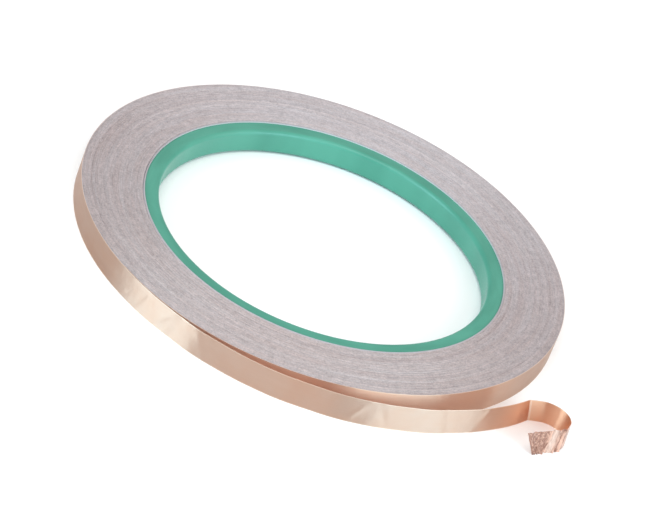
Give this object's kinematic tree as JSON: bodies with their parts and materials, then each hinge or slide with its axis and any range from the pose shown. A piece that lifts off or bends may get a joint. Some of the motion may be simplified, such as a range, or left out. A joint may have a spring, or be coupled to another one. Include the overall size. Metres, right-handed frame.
{
  "type": "copper foil tape roll",
  "caption": "Narrow adhesive copper foil tape wound on a thin plastic core ring, with a peeled tail and a curled-back tip.",
  "frame": {"origin": "middle of the roll: on its winding axis, half way across the tape's width", "axes": "+Z along the winding axis, up from the side face the roll lies on; the tail leaves the roll 131 degrees clockwise of +X seen from above and runs counter-clockwise round the -Y side"},
  "size_m": [0.1201, 0.1141, 0.0064],
  "materials": {
    "core_plastic": "satin moulded, sea green",
    "release_liner": "smooth silicone-coated",
    "wound_edge": "slit edges of copper and paper in fine rings",
    "adhesive": "clear, slightly hazy film",
    "copper_foil": "bright rolled copper"
  },
  "bodies": {
    "roll": {"core_ring": "core_plastic", "liner_leader": "release_liner", "wound_tape": "wound_edge", "outer_turn_liner": "release_liner", "outer_turn_adhesive": "adhesive", "outer_turn_foil": "copper_foil"},
    "tail": {"tail_adhesive": "adhesive", "tail_foil": "copper_foil"},
    "tip": {"tip_adhesive": "adhesive", "tip_foil": "copper_foil"}
  },
  "joints": [
    {"name": "tail_peel", "type": "hinge", "parent": "roll", "child": "tail", "pos_m": [-0.03672, -0.04224, 0], "axis": [0, 0, -1], "range_deg": [0, 80]},
    {"name": "tip_fold", "type": "hinge", "parent": "tail", "child": "tip", "pos_m": [0.0545, -0.03159, 0], "axis": [0.1955, 0.2806, -0.9397], "range_deg": [-28, 30]}
  ]
}
